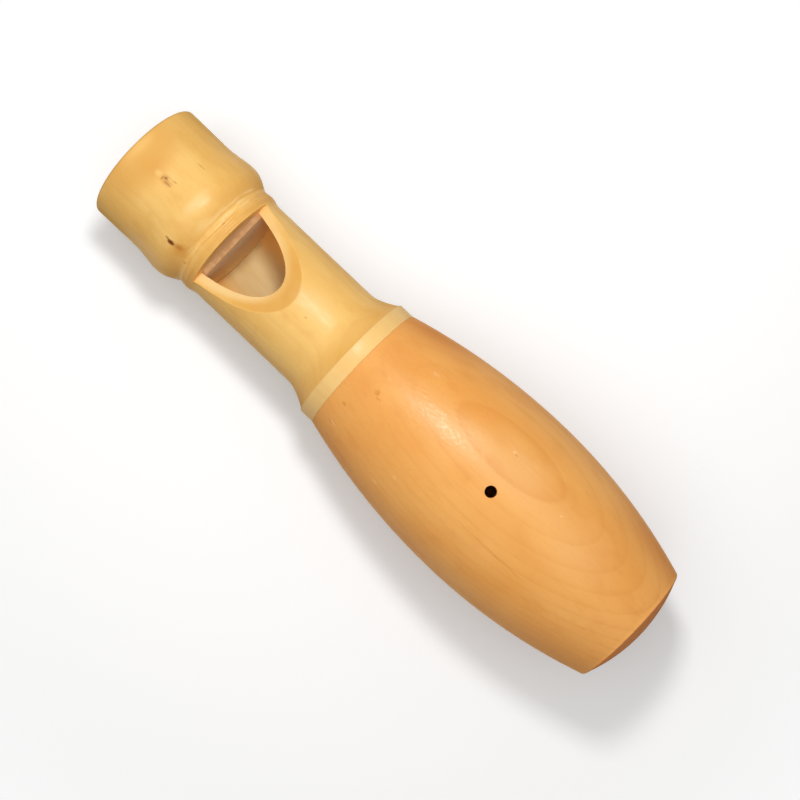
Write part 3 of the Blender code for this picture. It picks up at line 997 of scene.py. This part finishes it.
def lacquered_orange():
    """Orange wood under satin lacquer, dented and polished by hands, with small marks and a fine crack."""
    material, nodes, shader = new_material("lacquered_orange")
    place = along_axis(nodes)
    across = end_grain(nodes, 0.1, 0.9)
    rings = orange_rings(nodes, place)
    fibre = nodes.noise(place, (0.10, 2.6, 2.6), 3.0)
    pores = nodes.noise(place, (0.7, 6.0, 6.0), 1.0)
    lumps = nodes.noise(place, (0.6, 1.0, 1.0), 1.0)
    dents = nodes.noise(place, (1.1, 1.7, 1.7), 2.0)
    reach = nodes.length(off_axis(nodes, place))
    outward = nodes.add("ShaderNodeCombineXYZ", {"X": reach}).outputs["Vector"]
    turned = nodes.noise(outward, (2.2, 0.0, 0.0), 2.0)
    colour = orange_grain(nodes, place, rings, fibre, pores)
    sawn = orange_end(nodes, rings[0], fibre, turned)
    colour = nodes.mix(nodes.times(across, 0.95), colour, sawn)
    colour = marked(nodes, wander(nodes, place, 0.9, (0.8, 0.6, 0.6)), colour, BODY_MARKS, barrel_radius)
    colour = marked(nodes, wander(nodes, place, 0.25, (0.0, 0.9, 0.9)), colour, (CRACK,), barrel_radius)
    handled = nodes.spot(place, *HANDLED, CRISP)
    polish = nodes.times(handled, nodes.span(dents, 0.42, 0.62, 0.0, -0.09))
    roughness = nodes.times_plus(across, 0.35, nodes.span(lumps, 0.3, 0.7, 0.32, 0.39))
    roughness = nodes.maths("ADD", roughness, polish)
    roughness = nodes.maths("ADD", roughness, nodes.span(nodes.parts(place)["Z"], 11.0, 4.0, 0.0, 0.22))
    relief = nodes.times_plus(pores, -0.08, nodes.times(fibre, 0.12))
    relief = nodes.times_plus(nodes.times(dents, handled), 1.6, relief)
    relief = nodes.times_plus(nodes.times(across, turned), 3.0, relief)
    relief = nodes.times_plus(lumps, 1.4, relief)
    satin(nodes, shader, colour, roughness, relief, BODY_RELIEF)
    return material


def seen_directly(nodes):
    """1 for rays that show a thing itself, straight or by reflection, and 0 for those that light others."""
    path = nodes.add("ShaderNodeLightPath", {}).outputs
    seen = nodes.maths("MAXIMUM", path["Is Camera Ray"], path["Is Glossy Ray"])
    return nodes.maths("MAXIMUM", seen, path["Is Transmission Ray"])


def make_floor(height):
    """A white table that keeps the shadow near the whistle and is plain white further off."""
    shape = bmesh.new()
    bmesh.ops.create_grid(shape, x_segments=1, y_segments=1, size=FLOOR_HALF_SIZE)
    mesh = bpy.data.meshes.new("floor")
    shape.to_mesh(mesh)
    shape.free()
    floor = bpy.data.objects.new("floor", mesh)
    floor.location.z = height
    bpy.context.scene.collection.objects.link(floor)
    material = bpy.data.materials.new("white_table")
    material.use_nodes = True
    nodes = Nodes(material.node_tree)
    seen = seen_directly(nodes)
    paper = nodes.times_plus(seen, FLOOR_WHITE - FLOOR_BOUNCE, FLOOR_BOUNCE)
    matt = nodes.add("ShaderNodeBsdfDiffuse", {"Color": paper})
    lift = nodes.add("ShaderNodeEmission", {"Strength": nodes.times(seen, FLOOR_LIFT)})
    near = nodes.add("ShaderNodeAddShader", {0: matt.outputs["BSDF"], 1: lift.outputs["Emission"]})
    white = nodes.add("ShaderNodeEmission", {"Strength": 1.0})
    place = nodes.add("ShaderNodeTexCoord", {}).outputs["Object"]
    away = nodes.span(nodes.length(place), SHADOW_NEAR, SHADOW_FAR)
    share = nodes.times(away, seen)
    inputs = {0: share, 1: near.outputs["Shader"], 2: white.outputs["Emission"]}
    both = nodes.add("ShaderNodeMixShader", inputs)
    nodes.add("ShaderNodeOutputMaterial", {"Surface": both.outputs["Shader"]})
    mesh.materials.append(material)


def make_world():
    """Even light from all round, seen as plain white."""
    world = bpy.data.worlds.new("studio")
    world.use_nodes = True
    nodes = Nodes(world.node_tree)
    strength = nodes.times_plus(seen_directly(nodes), 1.0 - FILL_LIGHT, FILL_LIGHT)
    sky = nodes.add("ShaderNodeBackground", {"Strength": strength})
    sky.inputs["Color"].default_value = (1.0, 1.0, 1.0, 1.0)
    nodes.add("ShaderNodeOutputWorld", {"Surface": sky.outputs["Background"]})
    bpy.context.scene.world = world


def soft_box(name, place, size, power):
    """A square lamp that shines on the middle of the table and isn't seen itself."""
    lamp = bpy.data.lights.new(name, "AREA")
    lamp.shape = "SQUARE"
    lamp.size = size
    lamp.energy = power
    holder = bpy.data.objects.new(name, lamp)
    holder.location = place
    holder.rotation_euler = (-Vector(place)).to_track_quat("-Z", "Y").to_euler()
    holder.visible_camera = False
    bpy.context.scene.collection.objects.link(holder)


def make_camera():
    """The camera that took the picture, straight above the table."""
    lens = bpy.data.cameras.new("camera")
    lens.lens = CAMERA_LENS
    lens.sensor_width = CAMERA_SENSOR
    camera = bpy.data.objects.new("camera", lens)
    camera.location = CAMERA_PLACE
    camera.rotation_euler = (0.0, 0.0, CAMERA_ROLL)
    bpy.context.scene.collection.objects.link(camera)
    bpy.context.scene.camera = camera


def put_on(piece, node, body):
    """Let a piece stand for a solid of the frame and move with its body."""
    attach(piece, body)
    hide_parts(node)


boxwood = lacquered_boxwood()
raw = raw_boxwood()
orange = lacquered_orange()
put_on(make_head([boxwood, raw]), "mouthpiece_head", "head")
put_on(make_block([block_wood()]), "fipple_block", "head")
put_on(make_body([orange, raw]), "resonator_body", "resonator")

bpy.context.scene.view_settings.view_transform = "Standard"
visual_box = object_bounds()
make_floor(visual_box[0].z)
make_world()
soft_box("key_light", KEY_PLACE, KEY_SIZE, KEY_POWER)
soft_box("top_light", TOP_PLACE, TOP_SIZE, TOP_POWER)
make_camera()
